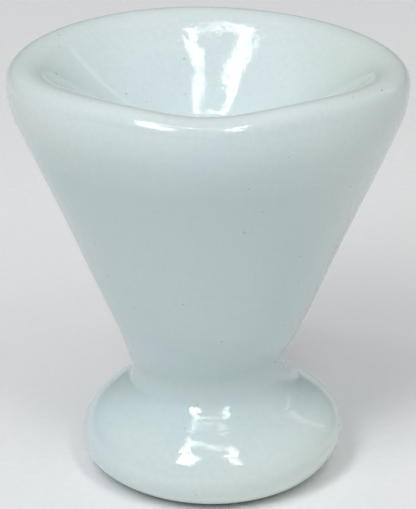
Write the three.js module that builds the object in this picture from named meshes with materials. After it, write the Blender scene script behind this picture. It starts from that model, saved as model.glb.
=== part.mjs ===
// Pedestal eye bath: an oval, flared cup with a thick rounded lip, set on a round bun foot.
// It is made in three pieces that are stuck together before firing and then glazed over:
// the bowl, a collar of joining slip, and the foot.
// Millimetres, +Z up. X runs along the mouth's long axis and the front of the cup faces -Y.
// The origin is on the surface that the foot stands on, below the centre of the cup's bounding box.
import * as THREE from "three";

// Driving dimensions.
const MOUTH_LENGTH = 50; // outside, along X
const MOUTH_WIDTH = 38.4; // outside, along Y
const HEIGHT = 55.3; // to the crest of the lip, averaged round the mouth
const LIP_RADIUS = 2.2; // outer rounding of the lip
const LIP_INNER_RADIUS = 4.5; // its inner rounding, down into the cavity
const LIP_TURN = 12.4; // outer radius of the bend that brings the flared wall upright at the lip
const NECK_RADIUS = 9.6; // narrowest part, where the bowl meets the collar
const NECK_TOP = 15; // height of the joint between the bowl and the collar
const OVAL_START = 23; // the outside is round below this height, and oval at the lip
const CAVITY_SLOPE = THREE.MathUtils.degToRad(36); // fall of the cavity's side along the mouth's long axis
const CAVITY_FLOOR_RADIUS = 13; // rounding of the bottom of the cavity
const CAVITY_OVAL_RADIUS = 22; // the cavity is round at its floor and fully oval this far out
const CAVITY_SIDE_STEPS = 5;
const SKIRT_TOP = 12.9; // the collar's straight side ends here, and its skirt spreads out below
const SKIRT_EDGE = { r: 12.5, z: 10.4 }; // where the skirt dies away on the foot's shoulder
const SKIRT_EDGE_THICKNESS = 0.35;
const SKIRT_HOLLOW = { r: 10.2, z: 11.9 }; // the point that its hollow curve is drawn towards
const FOOT_TOP = { r: 8.2, z: 12.2 }; // the low round pad on the foot that the collar beds on
const FOOT_TOP_HOLLOW = { r: 9.6, z: 11.3 }; // the point that the pad's hollow side is drawn towards
const FOOT_RADIUS = 16.65;
const FOOT_WIDEST = 4.8; // height at which the foot is widest
const FOOT_BULGE = { below: 2.6, above: 2.3, base: 2.4 }; // fullness of its curve at each bend
const FOOT_SHOULDER_FALL = { r: 1.4, z: 1 }; // the way that the foot's shoulder sets off outwards
const STANDING_RADIUS = 11.5; // outer edge of the flat ring that the foot stands on
const RECESS_RADIUS = 8.4; // shallow hollow under the foot
const RECESS_DEPTH = 1.4;
const JOINT_GAP = 0.3; // clear space between one piece and the next

// Rings scored in the bowl's underside, and filled by the slip, so that the joint holds.
const SCORED_RADII = [2.5, 5, 7.5];
const SCORE_DEPTH = 0.8;

// Hand-made irregularities.
const LIP_RISE = 1; // pressing the round mouth oval leaves its long sides this much above its ends
const LIP_SLOPE = 0.4; // the lip is this much lower at +X, and higher at -X
const DIP = { depth: 1.2, halfWidth: 11, x: -1.6 }; // soft dip in the front lip
const NOSE = { reach: 1, halfWidth: 9 }; // the front lip stands forward a little in its middle
// Extra hollow in the middle of the cavity's back wall, from startRadius up to the lip's crest.
const BACK_HOLLOW = { depth: 0.95, halfWidth: 6, x: 0.65, startRadius: 3 };
const MOUTH_TAPER = 0.03; // share by which the mouth is narrower at +X, and wider at -X
const MOUTH_TWIST = THREE.MathUtils.degToRad(3); // the mouth is turned this far round the axis
const SET_BACK = 0.44; // the whole cup stands this far back, so that the nose leaves its box centred
// The stem leans a little: at each height, how much higher it is at +X than at its middle,
// measured at the neck's radius, and how far it stands towards +X of the mouth's centre.
const LEAN = [
  { z: 0, rise: 0, shift: 0.45 },
  { z: FOOT_WIDEST, rise: 0.45, shift: 0.45 },
  { z: SKIRT_EDGE.z, rise: 0.25, shift: -0.2 },
  { z: SKIRT_TOP, rise: 0.8, shift: 0 },
  { z: NECK_TOP, rise: 0.8, shift: 0 },
  { z: NECK_TOP + 5, rise: 0, shift: 0 },
];

// Fineness.
const AROUND = 56;
const PER_CURVE = 6;

const mouthRadius = MOUTH_LENGTH / 2;
const squeeze = (MOUTH_LENGTH - MOUTH_WIDTH) / 2; // how far each long side is pressed in at the lip
const lipCentre = HEIGHT - LIP_RADIUS;
const lipCrest = mouthRadius - LIP_RADIUS;
const turnCentre = mouthRadius - LIP_TURN;
const flare = flareAngle();
const turnDrop = LIP_TURN * Math.sin(flare); // height of the bend below the lip
// The cavity's straight side runs from cavityTop to cavityBend, where the floor's rounding begins.
const cavityTop = {
  r: lipCrest - LIP_INNER_RADIUS * Math.sin(CAVITY_SLOPE),
  z: HEIGHT - LIP_INNER_RADIUS * (1 - Math.cos(CAVITY_SLOPE)),
};
const cavityBend = { r: CAVITY_FLOOR_RADIUS * Math.sin(CAVITY_SLOPE) };
cavityBend.z = cavityTop.z - (cavityTop.r - cavityBend.r) * Math.tan(CAVITY_SLOPE);
const cavityFloor = cavityBend.z - CAVITY_FLOOR_RADIUS * (1 - Math.cos(CAVITY_SLOPE));
const UP = new THREE.Vector3(0, 0, 1);

// The angle from upright of the straight wall between the neck and the bend below the lip.
function flareAngle() {
  let angle = 0.4;
  for (let i = 0; i < 20; i++) {
    const run = mouthRadius - LIP_TURN * (1 - Math.cos(angle)) - NECK_RADIUS;
    const rise = lipCentre - LIP_TURN * Math.sin(angle) - NECK_TOP;
    angle = Math.atan2(run, rise);
  }
  return angle;
}

function smoothstep(low, high, value) {
  const t = Math.min(1, Math.max(0, (value - low) / (high - low)));
  return t * t * (3 - 2 * t);
}

// Shears and shifts a point of the stem as LEAN says for its height.
function lean(point) {
  const next = LEAN.findIndex((stop) => stop.z > point.z);
  if (next < 1) {
    point.x += next === 0 ? LEAN[0].shift : 0;
    return;
  }
  const [below, above] = [LEAN[next - 1], LEAN[next]];
  const share = smoothstep(below.z, above.z, point.z);
  const rise = THREE.MathUtils.lerp(below.rise, above.rise, share);
  point.z += (rise * point.x) / NECK_RADIUS;
  point.x += THREE.MathUtils.lerp(below.shift, above.shift, share);
}

// A profile is a path in the (radius, height) half-plane; its curves are cut into short straight steps.
function profilePoints(path) {
  return path.getPoints(PER_CURVE).filter((p, i, all) => i === 0 || p.distanceTo(all[i - 1]) > 1e-3);
}

// Turns a profile into a solid of revolution standing on +Z, and moves each point with reshape(point).
function turned(path, reshape) {
  const geometry = new THREE.LatheGeometry(profilePoints(path), AROUND);
  geometry.rotateX(Math.PI / 2);
  const position = geometry.getAttribute("position");
  const point = new THREE.Vector3();
  for (let i = 0; i < position.count; i++) {
    point.fromBufferAttribute(position, i);
    reshape(point);
    position.setXYZ(i, point.x, point.y + SET_BACK, point.z);
  }
  geometry.computeVertexNormals();
  return geometry;
}

// Points of a flat face at height z with the scored rings standing up from it, from the axis outwards.
function keyedFace(z) {
  const points = [[0, z]];
  for (const radius of SCORED_RADII) {
    points.push([radius - SCORE_DEPTH, z], [radius, z + SCORE_DEPTH], [radius + SCORE_DEPTH, z]);
  }
  return points;
}

// The outer radius of the bowl at height z, before it is pressed oval.
function outerWallAt(z) {
  const belowLip = Math.max(0, lipCentre - z);
  if (belowLip < turnDrop) return turnCentre + Math.sqrt(LIP_TURN ** 2 - belowLip ** 2);
  return NECK_RADIUS + (z - NECK_TOP) * Math.tan(flare);
}

// Whether a point of the bowl's surface is on the cavity's side of the lip.
function isInCavity(point) {
  const depthIntoWall = outerWallAt(point.z) - Math.hypot(point.x, point.y);
  return point.z > cavityFloor - 0.01 && depthIntoWall > LIP_RADIUS / 2;
}

// How far along a point is from the round shape (0) to the mouth's oval (1).
// The outside changes with height, and the cavity with the distance from the axis.
function ovalShare(point) {
  const upOutside = (point.z - OVAL_START) / (lipCentre - OVAL_START);
  const acrossCavity = Math.hypot(point.x, point.y) / CAVITY_OVAL_RADIUS;
  if (isInCavity(point)) return Math.sin((Math.PI / 2) * Math.min(1, acrossCavity)) ** 2;
  return THREE.MathUtils.clamp(upOutside, 0, 1);
}

function bump(x, halfWidth) {
  return Math.exp(-((x / halfWidth) ** 2));
}

// How far the lip's crest stands above its mean height in a point's direction.
function lipWave(point) {
  const along = point.x / Math.max(Math.hypot(point.x, point.y), 1e-6);
  const longSide = 1 - along * along;
  const dip = point.y < 0 ? DIP.depth * bump(point.x - DIP.x, DIP.halfWidth) : 0;
  return LIP_RISE * (longSide - 0.5) - LIP_SLOPE * along - dip * longSide;
}

// Presses the round bowl oval, a little narrower at +X, and turns its mouth a few degrees.
function ovalise(point, share) {
  const radius = Math.max(Math.hypot(point.x, point.y), 1e-6);
  const pressed = 1 - (squeeze * share) / radius;
  point.y *= pressed * (1 - (MOUTH_TAPER * share * point.x) / mouthRadius);
  point.applyAxisAngle(UP, MOUTH_TWIST * share);
}

// The nose in the front lip, and the hollow in the middle of the cavity's back wall.
// Radius is the point's distance from the axis before the bowl was pressed oval.
function pushMiddles(point, share, inCavity, radius) {
  const front = smoothstep(0, 6, -point.y) * share ** 3 * bump(point.x, NOSE.halfWidth);
  const { startRadius, depth, halfWidth, x } = BACK_HOLLOW;
  const upWall = THREE.MathUtils.clamp((radius - startRadius) / (lipCrest - startRadius), 0, 1);
  const hollow = inCavity ? Math.sin(Math.PI * upWall) * smoothstep(0, 0.25, upWall) : 0;
  const back = hollow * smoothstep(0, 6, point.y) * bump(point.x - x, halfWidth);
  point.y += depth * back - NOSE.reach * front;
}

function bowlGeometry() {
  const path = new THREE.Path();
  path.moveTo(0, NECK_TOP);
  keyedFace(NECK_TOP).forEach(([r, z]) => path.lineTo(r, z));
  path.lineTo(NECK_RADIUS, NECK_TOP);
  path.lineTo(turnCentre + LIP_TURN * Math.cos(flare), lipCentre - turnDrop);
  path.absarc(turnCentre, lipCentre, LIP_TURN, -flare, 0, false);
  path.absarc(lipCrest, lipCentre, LIP_RADIUS, 0, Math.PI / 2, false);
  path.absarc(
    lipCrest,
    HEIGHT - LIP_INNER_RADIUS,
    LIP_INNER_RADIUS,
    Math.PI / 2,
    Math.PI / 2 + CAVITY_SLOPE,
    false,
  );
  for (let step = 1; step <= CAVITY_SIDE_STEPS; step++) {
    const share = step / CAVITY_SIDE_STEPS;
    const r = THREE.MathUtils.lerp(cavityTop.r, cavityBend.r, share);
    path.lineTo(r, THREE.MathUtils.lerp(cavityTop.z, cavityBend.z, share));
  }
  path.absarc(
    0,
    cavityFloor + CAVITY_FLOOR_RADIUS,
    CAVITY_FLOOR_RADIUS,
    CAVITY_SLOPE - Math.PI / 2,
    -Math.PI / 2,
    true,
  );
  return turned(path, (p) => {
    const share = ovalShare(p);
    const inCavity = isInCavity(p);
    const raise = inCavity ? share : smoothstep(HEIGHT - 2 * LIP_TURN, lipCentre, p.z);
    const raised = raise * lipWave(p);
    const radius = Math.hypot(p.x, p.y);
    ovalise(p, share);
    pushMiddles(p, share, inCavity, radius);
    lean(p);
    p.z += raised;
  });
}

function collarGeometry() {
  const top = NECK_TOP - JOINT_GAP;
  const bed = FOOT_TOP.z + JOINT_GAP;
  const path = new THREE.Path();
  path.moveTo(0, bed);
  path.lineTo(FOOT_TOP.r, bed);
  path.quadraticCurveTo(FOOT_TOP_HOLLOW.r, FOOT_TOP_HOLLOW.z + JOINT_GAP, SKIRT_EDGE.r, SKIRT_EDGE.z);
  path.lineTo(SKIRT_EDGE.r, SKIRT_EDGE.z + SKIRT_EDGE_THICKNESS);
  path.quadraticCurveTo(SKIRT_HOLLOW.r, SKIRT_HOLLOW.z, NECK_RADIUS, SKIRT_TOP);
  path.lineTo(NECK_RADIUS, top);
  keyedFace(top).reverse().forEach(([r, z]) => path.lineTo(r, z));
  return turned(path, lean);
}

function footGeometry() {
  const shoulder = { r: SKIRT_EDGE.r, z: SKIRT_EDGE.z - JOINT_GAP };
  const { below, above, base } = FOOT_BULGE;
  const path = new THREE.Path();
  path.moveTo(0, RECESS_DEPTH);
  path.quadraticCurveTo(RECESS_RADIUS * 0.75, RECESS_DEPTH, RECESS_RADIUS, 0);
  path.lineTo(STANDING_RADIUS, 0);
  path.bezierCurveTo(STANDING_RADIUS + base, 0, FOOT_RADIUS, FOOT_WIDEST - below, FOOT_RADIUS, FOOT_WIDEST);
  path.bezierCurveTo(
    FOOT_RADIUS,
    FOOT_WIDEST + above,
    shoulder.r + FOOT_SHOULDER_FALL.r,
    shoulder.z - FOOT_SHOULDER_FALL.z,
    shoulder.r,
    shoulder.z,
  );
  path.quadraticCurveTo(FOOT_TOP_HOLLOW.r, FOOT_TOP_HOLLOW.z, FOOT_TOP.r, FOOT_TOP.z);
  path.lineTo(0, FOOT_TOP.z);
  return turned(path, lean);
}

function piece(name, geometry, material) {
  const mesh = new THREE.Mesh(geometry, material);
  mesh.name = name;
  return mesh;
}

const glazedPorcelain = new THREE.MeshStandardMaterial({
  name: "glazed_porcelain",
  color: new THREE.Color(0.79, 0.84, 0.84),
  roughness: 0.12,
  metalness: 0,
});
const joiningSlip = glazedPorcelain.clone();
joiningSlip.name = "glazed_joining_slip";

const eyeBath = new THREE.Group();
eyeBath.add(
  piece("bowl", bowlGeometry(), glazedPorcelain),
  piece("joining_collar", collarGeometry(), joiningSlip),
  piece("foot", footGeometry(), glazedPorcelain),
);

export default eyeBath;
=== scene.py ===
"""White glazed pedestal eye bath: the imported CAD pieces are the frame, and this script makes the looks.

The bowl, the joining collar and the foot each get a fine mesh of their own, built from the same sizes
as the CAD piece that it stands for, with one skin of glaze running over all three. Sizes are in
millimetres up to the point where a mesh is made, and Blender's metres from there on.
"""

import math

import bpy
import numpy as np
from mathutils import Matrix, Vector


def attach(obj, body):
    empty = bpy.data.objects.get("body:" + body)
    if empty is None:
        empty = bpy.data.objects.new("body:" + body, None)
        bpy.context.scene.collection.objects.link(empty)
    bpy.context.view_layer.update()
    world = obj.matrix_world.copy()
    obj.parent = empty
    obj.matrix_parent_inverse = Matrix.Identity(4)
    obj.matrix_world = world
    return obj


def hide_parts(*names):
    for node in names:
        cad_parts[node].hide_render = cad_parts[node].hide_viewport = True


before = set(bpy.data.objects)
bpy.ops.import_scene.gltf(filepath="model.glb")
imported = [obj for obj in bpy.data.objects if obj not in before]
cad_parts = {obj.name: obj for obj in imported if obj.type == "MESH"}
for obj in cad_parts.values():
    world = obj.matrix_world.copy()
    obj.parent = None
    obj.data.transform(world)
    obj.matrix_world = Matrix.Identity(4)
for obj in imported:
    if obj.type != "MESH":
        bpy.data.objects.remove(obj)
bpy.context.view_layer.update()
MM = 0.001

# Sizes shared with the CAD model.
MOUTH_LENGTH = 50
MOUTH_WIDTH = 38.4
HEIGHT = 55.3
LIP_TURN = 12.4
LIP_RADIUS = 2.2
LIP_INNER_RADIUS = 4.5
NECK_RADIUS = 9.6
NECK_TOP = 15
OVAL_START = 23
CAVITY_SLOPE = math.radians(36)
CAVITY_FLOOR_RADIUS = 13
CAVITY_OVAL_RADIUS = 22
SKIRT_TOP = 12.9
SHOULDER = (12.5, 10.1)
FOOT_RADIUS = 16.65
FOOT_WIDEST = 4.8
STANDING_RADIUS = 11.5
RECESS_RADIUS = 8.4
RECESS_DEPTH = 1.4

# Hand-made irregularities, the same as the CAD model's.
LIP_RISE = 1
LIP_SLOPE = 0.4
DIP_DEPTH = 1.2
DIP_HALF_WIDTH = 11
DIP_X = -1.6
NOSE_REACH = 1
NOSE_HALF_WIDTH = 9
BACK_HOLLOW_DEPTH = 0.95
BACK_HOLLOW_HALF_WIDTH = 6
BACK_HOLLOW_X = 0.65
BACK_HOLLOW_START = 3
SET_BACK = 0.44
MOUTH_TAPER = 0.03
MOUTH_TWIST = math.radians(3)
LEAN_HEIGHTS = (0, FOOT_WIDEST, SHOULDER[1] + 0.3, SKIRT_TOP, NECK_TOP, NECK_TOP + 5)
LEAN_RISES = (0, 0.45, 0.25, 0.8, 0.8, 0)
LEAN_SHIFTS = (0.45, 0.45, -0.2, 0, 0, 0)
DIP_FADE = 4
MIDDLE_FADE = 6

# Finer unevenness, in these meshes only. Each wave has its depth, its number of swells around the
# piece, its phase, and the height over which it turns by one radian.
HAND_WAVES = ((0.055, 2, 0.8, 17), (0.035, 3, -1.9, -11), (0.022, 5, 2.4, 6.5))
RING_WAVE_DEPTH = 0.03
RING_WAVE_HEIGHT = 3.1

# Fineness of the meshes: points around each piece, and the spacing of its rings.
AROUND = 240
STEP = 0.45

# The camera: a long lens in front of the cup, looking down at a point near its middle.
CAMERA_LENS = 224
CAMERA_SENSOR = 36
CAMERA_DISTANCE = 0.4
CAMERA_ELEVATION = math.radians(24.5)
CAMERA_AIM = (-0.1, SET_BACK, 28.9)

# Every lamp faces this height on the cup's axis, from one of these distances in metres.
LAMP_AIM_HEIGHT = 30
SOFT_LAMP_DISTANCE = 0.8
TUBE_DISTANCE = 0.7

MOUTH_RADIUS = MOUTH_LENGTH / 2
SQUEEZE = (MOUTH_LENGTH - MOUTH_WIDTH) / 2
LIP_CENTRE = HEIGHT - LIP_RADIUS
TURN_CENTRE = MOUTH_RADIUS - LIP_TURN


def flare_angle():
    """The angle from upright of the straight wall between the neck and the bend below the lip."""
    angle = 0.4
    for _ in range(20):
        run = MOUTH_RADIUS - LIP_TURN * (1 - math.cos(angle)) - NECK_RADIUS
        rise = LIP_CENTRE - LIP_TURN * math.sin(angle) - NECK_TOP
        angle = math.atan2(run, rise)
    return angle


FLARE = flare_angle()


def outer_wall(z):
    """The outer radius of the round bowl at height z, up to the lip's widest line."""
    below_lip = np.clip(LIP_CENTRE - z, 0, LIP_TURN * math.sin(FLARE))
    bent = TURN_CENTRE + np.sqrt(LIP_TURN**2 - below_lip**2)
    straight = NECK_RADIUS + (z - NECK_TOP) * math.tan(FLARE)
    return np.where(LIP_CENTRE - z < LIP_TURN * math.sin(FLARE), bent, straight)


# The cavity: a straight slope from the lip's inner rounding to a round floor.
WALL_TOP = (
    MOUTH_RADIUS - LIP_RADIUS - LIP_INNER_RADIUS * math.sin(CAVITY_SLOPE),
    HEIGHT - LIP_INNER_RADIUS * (1 - math.cos(CAVITY_SLOPE)),
)
BEND_RADIUS = CAVITY_FLOOR_RADIUS * math.sin(CAVITY_SLOPE)
CAVITY_BEND = (BEND_RADIUS, WALL_TOP[1] - (WALL_TOP[0] - BEND_RADIUS) * math.tan(CAVITY_SLOPE))
CAVITY_FLOOR = CAVITY_BEND[1] - CAVITY_FLOOR_RADIUS * (1 - math.cos(CAVITY_SLOPE))


# Profiles: lists of points in the (radius, height) half-plane.


def line(start, end):
    """Points from start to end, about STEP apart."""
    start, end = np.array(start, float), np.array(end, float)
    count = max(2, round(float(np.linalg.norm(end - start)) / STEP) + 1)
    return start + (end - start) * np.linspace(0, 1, count)[:, None]


def bezier(*controls):
    """Points of a Bezier curve through its first and last control, about half a STEP apart."""
    controls = np.array(controls, float)
    degree = len(controls) - 1
    length = float(np.linalg.norm(np.diff(controls, axis=0), axis=1).sum())
    t = np.linspace(0, 1, max(8, round(2 * length / STEP)))[:, None]
    weights = [math.comb(degree, k) * t**k * (1 - t) ** (degree - k) for k in range(degree + 1)]
    return sum(w * c for w, c in zip(weights, controls))


def arc(centre, radius, start, end):
    """Points of a circular arc, about half a STEP apart; angles from the outward direction."""
    count = max(6, round(2 * radius * abs(end - start) / STEP))
    angles = np.linspace(start, end, count)
    return np.stack([centre[0] + radius * np.cos(angles), centre[1] + radius * np.sin(angles)], 1)


def joined(*stretches):
    """One profile from stretches that each start where the last one ends."""
    points = np.concatenate(stretches)
    apart = np.linalg.norm(np.diff(points, axis=0), axis=1)
    return points[np.concatenate([[True], apart > 1e-4])]


# The shape's irregularities, applied to arrays of points.


def smoothstep(low, high, value):
    t = np.clip((value - low) / (high - low), 0, 1)
    return t * t * (3 - 2 * t)


def is_in_cavity(x, y, z):
    """Whether points of the bowl's surface are on the cavity's side of the lip."""
    return (z > CAVITY_FLOOR - 0.01) & (outer_wall(z) - np.hypot(x, y) > LIP_RADIUS / 2)


def oval_share(x, y, z):
    """How far points are from the round shape (0) to the mouth's oval (1)."""
    outside = np.clip((z - OVAL_START) / (LIP_CENTRE - OVAL_START), 0, 1)
    inside = np.sin(math.pi / 2 * np.minimum(1, np.hypot(x, y) / CAVITY_OVAL_RADIUS)) ** 2
    return np.where(is_in_cavity(x, y, z), inside, outside)


def bump(x, half_width):
    return np.exp(-((x / half_width) ** 2))


def lip_wave(x, y):
    """How far the lip's crest stands above its mean height in a point's direction."""
    along = x / np.maximum(np.hypot(x, y), 1e-6)
    long_side = 1 - along**2
    dip = smoothstep(0, DIP_FADE, -y) * DIP_DEPTH * bump(x - DIP_X, DIP_HALF_WIDTH)
    return LIP_RISE * (long_side - 0.5) - LIP_SLOPE * along - dip * long_side


def ovalise(x, y, share):
    """Presses the round bowl oval, a little narrower at +X, and turns its mouth a few degrees."""
    radius = np.maximum(np.hypot(x, y), 1e-6)
    y = y * (1 - SQUEEZE * share / radius) * (1 - MOUTH_TAPER * share * x / MOUTH_RADIUS)
    turn = MOUTH_TWIST * share
    return x * np.cos(turn) - y * np.sin(turn), x * np.sin(turn) + y * np.cos(turn)


def push_middles(x, y, share, in_cavity, radius):
    """The nose in the front lip, and the hollow in the middle of the cavity's back wall."""
    front = smoothstep(0, MIDDLE_FADE, -y) * share**3 * bump(x, NOSE_HALF_WIDTH)
    crest = MOUTH_RADIUS - LIP_RADIUS
    up_wall = np.clip((radius - BACK_HOLLOW_START) / (crest - BACK_HOLLOW_START), 0, 1)
    back = np.where(in_cavity, np.sin(math.pi * up_wall) * smoothstep(0, 0.25, up_wall), 0)
    back = back * smoothstep(0, MIDDLE_FADE, y) * bump(x - BACK_HOLLOW_X, BACK_HOLLOW_HALF_WIDTH)
    return y + BACK_HOLLOW_DEPTH * back - NOSE_REACH * front


def lean(x, y, z):
    """Shears and shifts the stem as the LEAN stops say for each height."""
    rise, shift = np.zeros_like(z), np.zeros_like(z)
    for k in range(len(LEAN_HEIGHTS) - 1):
        low, high = LEAN_HEIGHTS[k], LEAN_HEIGHTS[k + 1]
        here = (z >= low) & (z < high)
        share = smoothstep(low, high, z)
        rise = np.where(here, LEAN_RISES[k] + (LEAN_RISES[k + 1] - LEAN_RISES[k]) * share, rise)
        shift = np.where(here, LEAN_SHIFTS[k] + (LEAN_SHIFTS[k + 1] - LEAN_SHIFTS[k]) * share, shift)
    shift = np.where(z < 0, LEAN_SHIFTS[0], shift)
    return x + shift, y, z + rise * x / NECK_RADIUS


def handled(x, y, z):
    """Slight unevenness left by hands and tools, fading out near the standing ring."""
    angle = np.arctan2(y, x)
    above_base = smoothstep(0.5, 4, z)
    swell = sum(
        depth * np.sin(count * angle + phase + z / height)
        for depth, count, phase, height in HAND_WAVES
    )
    swell = swell + RING_WAVE_DEPTH * np.sin(z / RING_WAVE_HEIGHT + 1.2 * np.sin(angle + 0.6))
    radius = np.maximum(np.hypot(x, y), 1e-6)
    grown = 1 + above_base * swell / np.maximum(radius, 6)
    return x * grown, y * grown, z


def turned(name, profile, shape):
    """A closed solid of revolution about Z, whose points shape(x, y, z) moves into place."""
    rings = profile[1:-1]
    angles = np.arange(AROUND) * 2 * math.pi / AROUND
    x = np.outer(rings[:, 0], np.cos(angles)).ravel()
    y = np.outer(rings[:, 0], np.sin(angles)).ravel()
    z = np.repeat(rings[:, 1], AROUND)
    x, y, z = (np.append(values, [0, 0]) for values in (x, y, z))
    z[-2:] = profile[0][1], profile[-1][1]
    points = (np.stack(shape(x, y, z), 1) + (0, SET_BACK, 0)) * MM
    first, last = len(points) - 2, len(points) - 1
    faces = []
    for ring in range(len(rings) - 1):
        low, high = ring * AROUND, (ring + 1) * AROUND
        for k in range(AROUND):
            n = (k + 1) % AROUND
            faces.append((low + k, low + n, high + n, high + k))
    top = (len(rings) - 1) * AROUND
    for k in range(AROUND):
        n = (k + 1) % AROUND
        faces.append((first, n, k))
        faces.append((last, top + k, top + n))
    mesh = bpy.data.meshes.new(name)
    mesh.from_pydata(points.tolist(), [], faces)
    mesh.polygons.foreach_set("use_smooth", [True] * len(mesh.polygons))
    mesh.update()
    piece = bpy.data.objects.new(name, mesh)
    bpy.context.scene.collection.objects.link(piece)
    return piece


# The three pieces. SKIRT_END is the share of the foot's upper curve that the collar's skirt covers.

FOOT_PAD = (8.6, 12)
FOOT_BELLY = 2.3
STANDING_EDGE = 0.4
COLLAR_UNDERSIDE = (10.6, 10.6)
NECK_FILLET = 1.3
SKIRT_REACH = 1.6
SKIRT_END = 0.22
HIDDEN_STEP = 0.35
HIDDEN_INSET = 0.6
BOWL_OVERLAP = 0.8

# The collar's two edges run on under the glaze of the foot and the bowl, this far and this deep.
SUNK_LENGTH = 0.8
SUNK_DEPTH = 0.12


def foot_upper():
    """Controls of the curve over the foot's upper half, from its widest line to its shoulder."""
    return (
        (FOOT_RADIUS, FOOT_WIDEST),
        (FOOT_RADIUS, FOOT_WIDEST + FOOT_BELLY),
        (SHOULDER[0] + 1.4, SHOULDER[1] - 1),
        SHOULDER,
    )


def make_foot():
    """The bun foot, hollowed a little underneath; its top is hidden under the collar."""
    recess_edge = (RECESS_RADIUS - 0.3, 0.15)
    ring_inside = (RECESS_RADIUS + STANDING_EDGE, 0)
    profile = joined(
        bezier((0, RECESS_DEPTH), (RECESS_RADIUS * 0.75, RECESS_DEPTH), recess_edge),
        bezier(recess_edge, (RECESS_RADIUS, 0), ring_inside),
        line(ring_inside, (STANDING_RADIUS, 0)),
        bezier(
            (STANDING_RADIUS, 0),
            (STANDING_RADIUS + 2.4, 0),
            (FOOT_RADIUS, FOOT_WIDEST - 2.6),
            (FOOT_RADIUS, FOOT_WIDEST),
        ),
        bezier(*foot_upper()),
        line(SHOULDER, FOOT_PAD),
        line(FOOT_PAD, (0, FOOT_PAD[1])),
    )
    return turned("foot_glazed", profile, lambda x, y, z: handled(*lean(x, y, z)))


def make_collar():
    """The collar of slip: its skirt runs out on the foot, its top fills the corner under the bowl."""
    upper = bezier(*foot_upper())
    touch = round((1 - SKIRT_END) * (len(upper) - 1))
    end = upper[touch]
    along = upper[touch] - upper[touch - 1]
    along = along / np.linalg.norm(along)
    sunk_end = end - along * SUNK_LENGTH - np.array((along[1], -along[0])) * SUNK_DEPTH
    fillet_top = np.array((NECK_RADIUS + NECK_FILLET * math.tan(FLARE), NECK_TOP + NECK_FILLET))
    sunk_top = fillet_top + SUNK_LENGTH * np.array((math.tan(FLARE), 1)) - (SUNK_DEPTH, 0)
    hidden_end = sunk_end - (HIDDEN_STEP, HIDDEN_STEP)
    skirt_top = (NECK_RADIUS, SKIRT_TOP + 0.3)
    profile = joined(
        line((0, COLLAR_UNDERSIDE[1]), COLLAR_UNDERSIDE),
        line(COLLAR_UNDERSIDE, hidden_end),
        line(hidden_end, sunk_end),
        line(sunk_end, end),
        bezier(end, end + along * SKIRT_REACH, (NECK_RADIUS + 0.15, SKIRT_TOP - 1.3), skirt_top),
        line(skirt_top, (NECK_RADIUS, NECK_TOP - NECK_FILLET)),
        bezier((NECK_RADIUS, NECK_TOP - NECK_FILLET), (NECK_RADIUS, NECK_TOP), fillet_top),
        line(fillet_top, sunk_top),
        line(sunk_top, (NECK_RADIUS - HIDDEN_INSET, sunk_top[1])),
        line((NECK_RADIUS - HIDDEN_INSET, sunk_top[1]), (0, sunk_top[1])),
    )
    return turned("joining_collar_glazed", profile, lambda x, y, z: handled(*lean(x, y, z)))


def make_bowl():
    """The oval cup with its thick rolled lip; its underside is hidden in the collar."""
    crest = MOUTH_RADIUS - LIP_RADIUS
    outer_bend = (
        TURN_CENTRE + LIP_TURN * math.cos(FLARE),
        LIP_CENTRE - LIP_TURN * math.sin(FLARE),
    )
    underside = (NECK_RADIUS - BOWL_OVERLAP, NECK_TOP - BOWL_OVERLAP)
    inner_round = (crest, HEIGHT - LIP_INNER_RADIUS)
    floor_round = (0, CAVITY_FLOOR + CAVITY_FLOOR_RADIUS)
    straight_up = math.pi / 2
    profile = joined(
        line((0, underside[1]), underside),
        line(underside, (NECK_RADIUS, NECK_TOP)),
        line((NECK_RADIUS, NECK_TOP), outer_bend),
        arc((TURN_CENTRE, LIP_CENTRE), LIP_TURN, -FLARE, 0),
        arc((crest, LIP_CENTRE), LIP_RADIUS, 0, straight_up),
        arc(inner_round, LIP_INNER_RADIUS, straight_up, straight_up + CAVITY_SLOPE),
        line(WALL_TOP, CAVITY_BEND),
        arc(floor_round, CAVITY_FLOOR_RADIUS, CAVITY_SLOPE - straight_up, -straight_up),
    )

    def shape(x, y, z):
        share, in_cavity = oval_share(x, y, z), is_in_cavity(x, y, z)
        near_lip = smoothstep(HEIGHT - 2 * LIP_TURN, LIP_CENTRE, z)
        raised = np.where(in_cavity, share, near_lip) * lip_wave(x, y)
        radius = np.hypot(x, y)
        x, y = ovalise(x, y, share)
        y = push_middles(x, y, share, in_cavity, radius)
        x, y, z = handled(*lean(x, y, z))
        return x, y, z + raised

    return turned("bowl_glazed", profile, shape)


# Materials.


COOL_GLAZE = (0.69, 0.82, 0.85)
MID_GLAZE = (0.72, 0.83, 0.83)
WARM_GLAZE = (0.76, 0.83, 0.81)
# Painted shade: this darker glaze colour stands in for the shade on the body's downward-facing wall under
# the overhead light.
BODY_SHADE = (0.49, 0.60, 0.595)
# Painted light with a greenish tint: this lighter colour low on the foot stands in for light bounced up
# from the floor.
FOOT_BOUNCE_LIGHT = (0.80, 0.90, 0.86)
# Partly painted light: the cavity's lighter colour stands in for the light on its up-facing,
# interreflecting inside, with a cool tint of the glaze's own.
CAVITY_LIGHT_AND_TINT = (0.79, 0.89, 0.91)
THIN_GLAZE = (0.78, 0.84, 0.84)
MOTTLE = (0.44, 0.56, 0.58)
DARK_SPECK = (0.38, 0.43, 0.41)
GREY_SPECK = (0.46, 0.51, 0.49)
# Painted shade with a greenish tint: the darker colour at the cavity's steep ends stands in for the shade
# there.
CAVITY_END_SHADE = (0.64, 0.75, 0.71)
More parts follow.
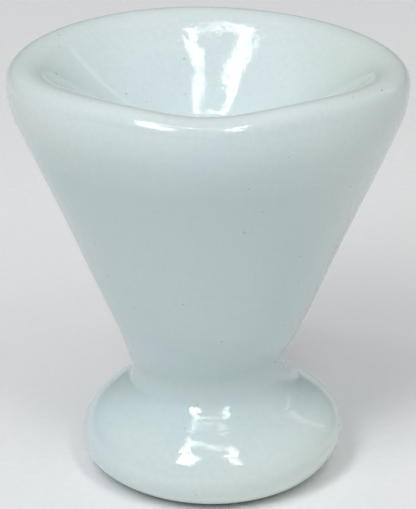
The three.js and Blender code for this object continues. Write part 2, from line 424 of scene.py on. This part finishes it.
# Painted shade and a painted warm reflection: this darker, beige colour is for the cup's right side.
RIGHT_SHADE_AND_REFLECTION = (0.71, 0.79, 0.74)
DARK_CLAY = (0.62, 0.58, 0.52)
PALE_CLAY = (0.74, 0.70, 0.63)
CLAY_ROUGHNESS = (0.75, 0.75, 0.75)
GLAZE_IOR = 1.52

# The glaze's fields: features per metre; waves per metre, detail and depth; and stops in millimetres.
CLOUDS_PER_METRE = 55
MOTTLE_PER_METRE = 1500
RELIEF_LAYERS = ((330, 2, 0.05), (1500, 2, 0.012), (4200, 1, 0.005))
END_STRETCH = (9, 19)
BARE_STOPS = ((0.18, 1.0), (0.42, 0.0))


def new_material(name):
    material = bpy.data.materials.new(name)
    material.use_nodes = True
    nodes = material.node_tree.nodes
    return material, nodes, material.node_tree.links, nodes["Principled BSDF"]


def noise(nodes, links, place, scale, detail, distortion=0):
    """A noise field's 0 to 1 output; scale is in features per metre."""
    texture = nodes.new("ShaderNodeTexNoise")
    texture.inputs["Scale"].default_value = scale
    texture.inputs["Detail"].default_value = detail
    texture.inputs["Distortion"].default_value = distortion
    links.new(place, texture.inputs["Vector"])
    return texture.outputs["Fac"]


def ramp(nodes, links, value, *stops):
    """A colour ramp of value; each stop is (position, colour), and a bare number is a grey."""
    node = nodes.new("ShaderNodeValToRGB")
    elements = node.color_ramp.elements
    while len(elements) < len(stops):
        elements.new(0.5)
    for element, (position, colour) in zip(elements, stops):
        element.position = position
        element.color = (*colour, 1) if isinstance(colour, tuple) else (colour, colour, colour, 1)
    links.new(value, node.inputs["Fac"])
    return node.outputs["Color"]


def mixed(nodes, links, share, first, second):
    """The colour between first and second at share; second may be a fixed colour."""
    mix = nodes.new("ShaderNodeMix")
    mix.data_type = "RGBA"
    links.new(share, mix.inputs["Factor"])
    links.new(first, mix.inputs["A"])
    if isinstance(second, tuple):
        mix.inputs["B"].default_value = (*second, 1)
    else:
        links.new(second, mix.inputs["B"])
    return mix.outputs["Result"]


def multiplied(nodes, links, first, second):
    node = nodes.new("ShaderNodeMath")
    node.operation = "MULTIPLY"
    links.new(first, node.inputs[0])
    if isinstance(second, (int, float)):
        node.inputs[1].default_value = second
    else:
        links.new(second, node.inputs[1])
    return node.outputs["Value"]


def height_share(nodes, links, place, *stops):
    """A grey ramp over height: each stop is (millimetres, value)."""
    split = nodes.new("ShaderNodeSeparateXYZ")
    links.new(place, split.inputs["Vector"])
    whole = multiplied(nodes, links, split.outputs["Z"], 1 / (HEIGHT * 1.1 * MM))
    return ramp(nodes, links, whole, *((z / (HEIGHT * 1.1), value) for z, value in stops))


def specks(nodes, links, place, cells_per_metre, size, kept):
    """A mask of sparse round dots: one in each cell of a jittered lattice, of which a share is kept."""
    cells = nodes.new("ShaderNodeTexVoronoi")
    cells.inputs["Scale"].default_value = cells_per_metre
    links.new(place, cells.inputs["Vector"])
    dot = ramp(nodes, links, cells.outputs["Distance"], (size * 0.6, 1.0), (size, 0.0))
    split = nodes.new("ShaderNodeSeparateColor")
    links.new(cells.outputs["Color"], split.inputs["Color"])
    chosen = ramp(nodes, links, split.outputs["Red"], (kept, 1.0), (kept + 0.01, 0.0))
    return multiplied(nodes, links, dot, chosen)


def in_cavity_mask(nodes, links, place):
    """One inside the cavity and on the lip's crest, and nought on the outside of the cup."""
    across = nodes.new("ShaderNodeVectorMath")
    across.operation = "MULTIPLY"
    across.inputs[1].default_value = (1, MOUTH_LENGTH / MOUTH_WIDTH, 0)
    links.new(place, across.inputs[0])
    length = nodes.new("ShaderNodeVectorMath")
    length.operation = "LENGTH"
    links.new(across.outputs["Vector"], length.inputs[0])
    split = nodes.new("ShaderNodeSeparateXYZ")
    links.new(place, split.inputs["Vector"])
    above_slope = nodes.new("ShaderNodeMath")
    above_slope.operation = "MULTIPLY_ADD"
    links.new(length.outputs["Value"], above_slope.inputs[0])
    above_slope.inputs[1].default_value = -math.tan(CAVITY_SLOPE)
    links.new(split.outputs["Z"], above_slope.inputs[2])
    wall = WALL_TOP[1] - WALL_TOP[0] * math.tan(CAVITY_SLOPE)
    return between(nodes, links, above_slope.outputs["Value"], wall - 4.5, wall - 1.5)


def between(nodes, links, value, low, high):
    """Nought where value is under low millimetres, one over high millimetres."""
    node = nodes.new("ShaderNodeMapRange")
    node.inputs["From Min"].default_value = low * MM
    node.inputs["From Max"].default_value = high * MM
    links.new(value, node.inputs["Value"])
    return node.outputs["Result"]


def sideways(nodes, links, place, low, high, both_ways):
    """Nought where X is under low millimetres, one where it is over high; by distance if both_ways."""
    split = nodes.new("ShaderNodeSeparateXYZ")
    links.new(place, split.inputs["Vector"])
    if not both_ways:
        return between(nodes, links, split.outputs["X"], low, high)
    distance = nodes.new("ShaderNodeMath")
    distance.operation = "ABSOLUTE"
    links.new(split.outputs["X"], distance.inputs[0])
    return between(nodes, links, distance.outputs["Value"], low, high)


def glaze_tints_and_painted_light(nodes, links, place):
    """The glaze's colour: clouds; painted shade on the body; painted floor light low on the foot and
    painted light in the cavity; painted shade at the cavity's ends and on the right side; and the tints
    of each place.
    """
    clouds = noise(nodes, links, place, CLOUDS_PER_METRE, 3, 0.4)
    colour = ramp(nodes, links, clouds, (0.38, COOL_GLAZE), (0.52, MID_GLAZE), (0.66, WARM_GLAZE))
    # Painted shade: the body between the neck and the lip is darkened towards the shaded colour.
    body_shade_share = height_share(nodes, links, place, (9, 0.0), (16, 0.5), (44, 0.62), (53, 0.05))
    colour = mixed(nodes, links, body_shade_share, colour, BODY_SHADE)
    # Painted light: the foot's lower part, mostly on its right half, is made lighter for the floor's
    # bounced light, with a greenish tint.
    foot_light_height = height_share(nodes, links, place, (1, 1.0), (5, 0.5), (10, 0.0))
    foot_light_share = multiplied(nodes, links, foot_light_height, sideways(nodes, links, place, -12, 0, False))
    colour = mixed(nodes, links, foot_light_share, colour, FOOT_BOUNCE_LIGHT)
    in_cavity = in_cavity_mask(nodes, links, place)
    # Partly painted light: the cavity is made lighter for the light inside it, and cooler in tint.
    colour = mixed(nodes, links, multiplied(nodes, links, in_cavity, 0.75), colour, CAVITY_LIGHT_AND_TINT)
    # Painted shade: the cavity's two ends are darkened and greened.
    end_shade_share = multiplied(nodes, links, sideways(nodes, links, place, *END_STRETCH, True), in_cavity)
    colour = mixed(nodes, links, multiplied(nodes, links, end_shade_share, 0.8), colour, CAVITY_END_SHADE)
    # Painted shade and a painted warm reflection: the cup's right side is made darker and more beige.
    right_shade_share = multiplied(nodes, links, sideways(nodes, links, place, *END_STRETCH, False), 0.6)
    colour = mixed(nodes, links, right_shade_share, colour, RIGHT_SHADE_AND_REFLECTION)
    on_crest = height_share(nodes, links, place, (52.5, 0.0), (55.5, 0.45))
    return mixed(nodes, links, on_crest, colour, THIN_GLAZE)


def mottled(nodes, links, place, colour):
    """The colour with a fine darker mottle and two sizes of sparse specks over it."""
    blotches = noise(nodes, links, place, MOTTLE_PER_METRE, 5)
    mottle = ramp(nodes, links, blotches, (0.4, 0.0), (0.75, 0.12))
    colour = mixed(nodes, links, mottle, colour, MOTTLE)
    colour = mixed(nodes, links, specks(nodes, links, place, 480, 0.11, 0.06), colour, DARK_SPECK)
    return mixed(nodes, links, specks(nodes, links, place, 640, 0.1, 0.09), colour, GREY_SPECK)


def relief(nodes, links, place):
    """The surface's normal under three layers of waves, from broad to very fine."""
    normal = None
    for waves_per_metre, detail, depth in RELIEF_LAYERS:
        layer = nodes.new("ShaderNodeBump")
        layer.inputs["Distance"].default_value = depth * MM
        links.new(noise(nodes, links, place, waves_per_metre, detail), layer.inputs["Height"])
        if normal is not None:
            links.new(normal, layer.inputs["Normal"])
        normal = layer.outputs["Normal"]
    return normal


def glaze(name):
    """Cool white glaze over the whole cup, all but the standing ring, which is bare clay."""
    material, nodes, links, shader = new_material(name)
    place = nodes.new("ShaderNodeTexCoord").outputs["Object"]

    bare = height_share(nodes, links, place, *BARE_STOPS)
    grain = noise(nodes, links, place, 1400, 3)
    clay = ramp(nodes, links, grain, (0.35, DARK_CLAY), (0.65, PALE_CLAY))
    colour = mottled(nodes, links, place, glaze_tints_and_painted_light(nodes, links, place))
    links.new(mixed(nodes, links, bare, colour, clay), shader.inputs["Base Color"])

    glossy = ramp(nodes, links, noise(nodes, links, place, 260, 4), (0.35, 0.05), (0.7, 0.13))
    links.new(mixed(nodes, links, bare, glossy, CLAY_ROUGHNESS), shader.inputs["Roughness"])
    links.new(relief(nodes, links, place), shader.inputs["Normal"])
    shader.inputs["IOR"].default_value = GLAZE_IOR
    return material


def floor_material():
    """Matt white board with a faint fibrous unevenness."""
    material, nodes, links, shader = new_material("pale_floor")
    place = nodes.new("ShaderNodeTexCoord").outputs["Object"]
    fibres = noise(nodes, links, place, 900, 4)
    colour = ramp(nodes, links, fibres, (0.3, (0.95, 0.95, 0.955)), (0.7, (0.98, 0.98, 0.98)))
    links.new(colour, shader.inputs["Base Color"])
    links.new(ramp(nodes, links, fibres, (0.3, 0.8), (0.7, 0.95)), shader.inputs["Roughness"])
    return material


# The stage.


def make_floor():
    """A square of pale board under the cup."""
    half = 3.0
    mesh = bpy.data.meshes.new("floor")
    corners = [(-half, -half, 0), (half, -half, 0), (half, half, 0), (-half, half, 0)]
    mesh.from_pydata(corners, [], [(0, 1, 2, 3)])
    floor = bpy.data.objects.new("floor", mesh)
    bpy.context.scene.collection.objects.link(floor)
    mesh.materials.append(floor_material())


def area_light(name, lateral, vertical, size, radiance, distance):
    """A rectangular lamp, distance metres away and facing the cup.

    lateral is its angle to the right of the YZ plane, vertical its angle up from the front and over
    the cup, and size its width and height as the cup sees it, all in degrees.
    """
    across, up = math.radians(lateral), math.radians(vertical)
    back = Vector((math.sin(across), -math.cos(across) * math.cos(up), math.cos(across) * math.sin(up)))
    light = bpy.data.lights.new(name, "AREA")
    light.shape = "RECTANGLE"
    light.size, light.size_y = (2 * distance * math.tan(math.radians(angle) / 2) for angle in size)
    light.energy = radiance * math.pi * light.size * light.size_y
    lamp = bpy.data.objects.new(name, light)
    side = Vector((0, 0, 1)).cross(back).normalized()
    above = back.cross(side)
    place = Vector((0, 0, LAMP_AIM_HEIGHT * MM)) + back * distance
    rows = [(side[k], above[k], back[k], place[k]) for k in range(3)]
    lamp.matrix_world = Matrix(rows + [(0, 0, 0, 1)])
    bpy.context.scene.collection.objects.link(lamp)
    return lamp


def make_lights():
    """Soft lamps that the glaze doesn't mirror, then the bright tubes that it does."""
    for name, lateral, vertical, size, radiance in (
        ("front", 2, 58, (70, 60), 0.05),
        ("overhead", 2, 102, (70, 60), 0.46),
        ("right", 65, 60, (50, 60), 0.13),
        ("behind", 0, 145, (90, 40), 0.1),
        ("left_rim", -76, 140, (44, 22), 1.0),
        ("right_rim", 76, 140, (44, 22), 0.8),
    ):
        area_light(name, lateral, vertical, size, radiance, SOFT_LAMP_DISTANCE).visible_glossy = False
    for name, lateral, vertical, size, radiance in (
        ("left_tube", -19.5, 51, (13, 21), 11),
        ("left_tube_bend", -18.2, 65, (7.5, 8), 10),
        ("left_tube_end", -13.5, 72.5, (6, 8), 9),
        ("top_tube", -4.5, 71, (12, 3.5), 7),
        ("top_tube_end", 5, 70, (7, 3), 5),
        ("right_tube_bend", 13.5, 67.5, (5.5, 11), 8),
        ("right_tube_elbow", 12.5, 60, (10, 5), 9),
        ("right_tube", 16.5, 50, (6, 14), 9),
        ("far_window_edge", 44, 132.5, (2.2, 30), 2),
    ):
        area_light(name, lateral, vertical, size, radiance, TUBE_DISTANCE)


def make_world():
    """A dim, slightly blue surround."""
    world = bpy.data.worlds.new("studio")
    world.use_nodes = True
    background = world.node_tree.nodes["Background"]
    background.inputs["Color"].default_value = (0.93, 0.97, 1.0, 1)
    background.inputs["Strength"].default_value = 0.16
    bpy.context.scene.world = world


def make_camera():
    """A long lens, looking down at the front of the cup."""
    camera = bpy.data.cameras.new("camera")
    camera.sensor_width = CAMERA_SENSOR
    camera.lens = CAMERA_LENS
    camera.clip_start = 0.01
    camera.clip_end = 20
    eye = bpy.data.objects.new("camera", camera)
    back = Vector((0, -math.cos(CAMERA_ELEVATION), math.sin(CAMERA_ELEVATION)))
    eye.location = Vector(CAMERA_AIM) * MM + back * CAMERA_DISTANCE
    eye.rotation_mode = "QUATERNION"
    eye.rotation_quaternion = back.to_track_quat("Z", "Y")
    bpy.context.scene.collection.objects.link(eye)
    bpy.context.scene.camera = eye


make_camera()
bpy.context.scene.view_settings.view_transform = "Standard"
white_glaze = glaze("white_glaze")
for node, slot, piece in (
    ("bowl", "glazed_bowl", make_bowl()),
    ("joining_collar", "glazed_slip", make_collar()),
    ("foot", "glazed_foot", make_foot()),
):
    piece.data.materials.append(white_glaze)
    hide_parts(node)
    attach(piece, "root")
make_floor()
make_lights()
make_world()
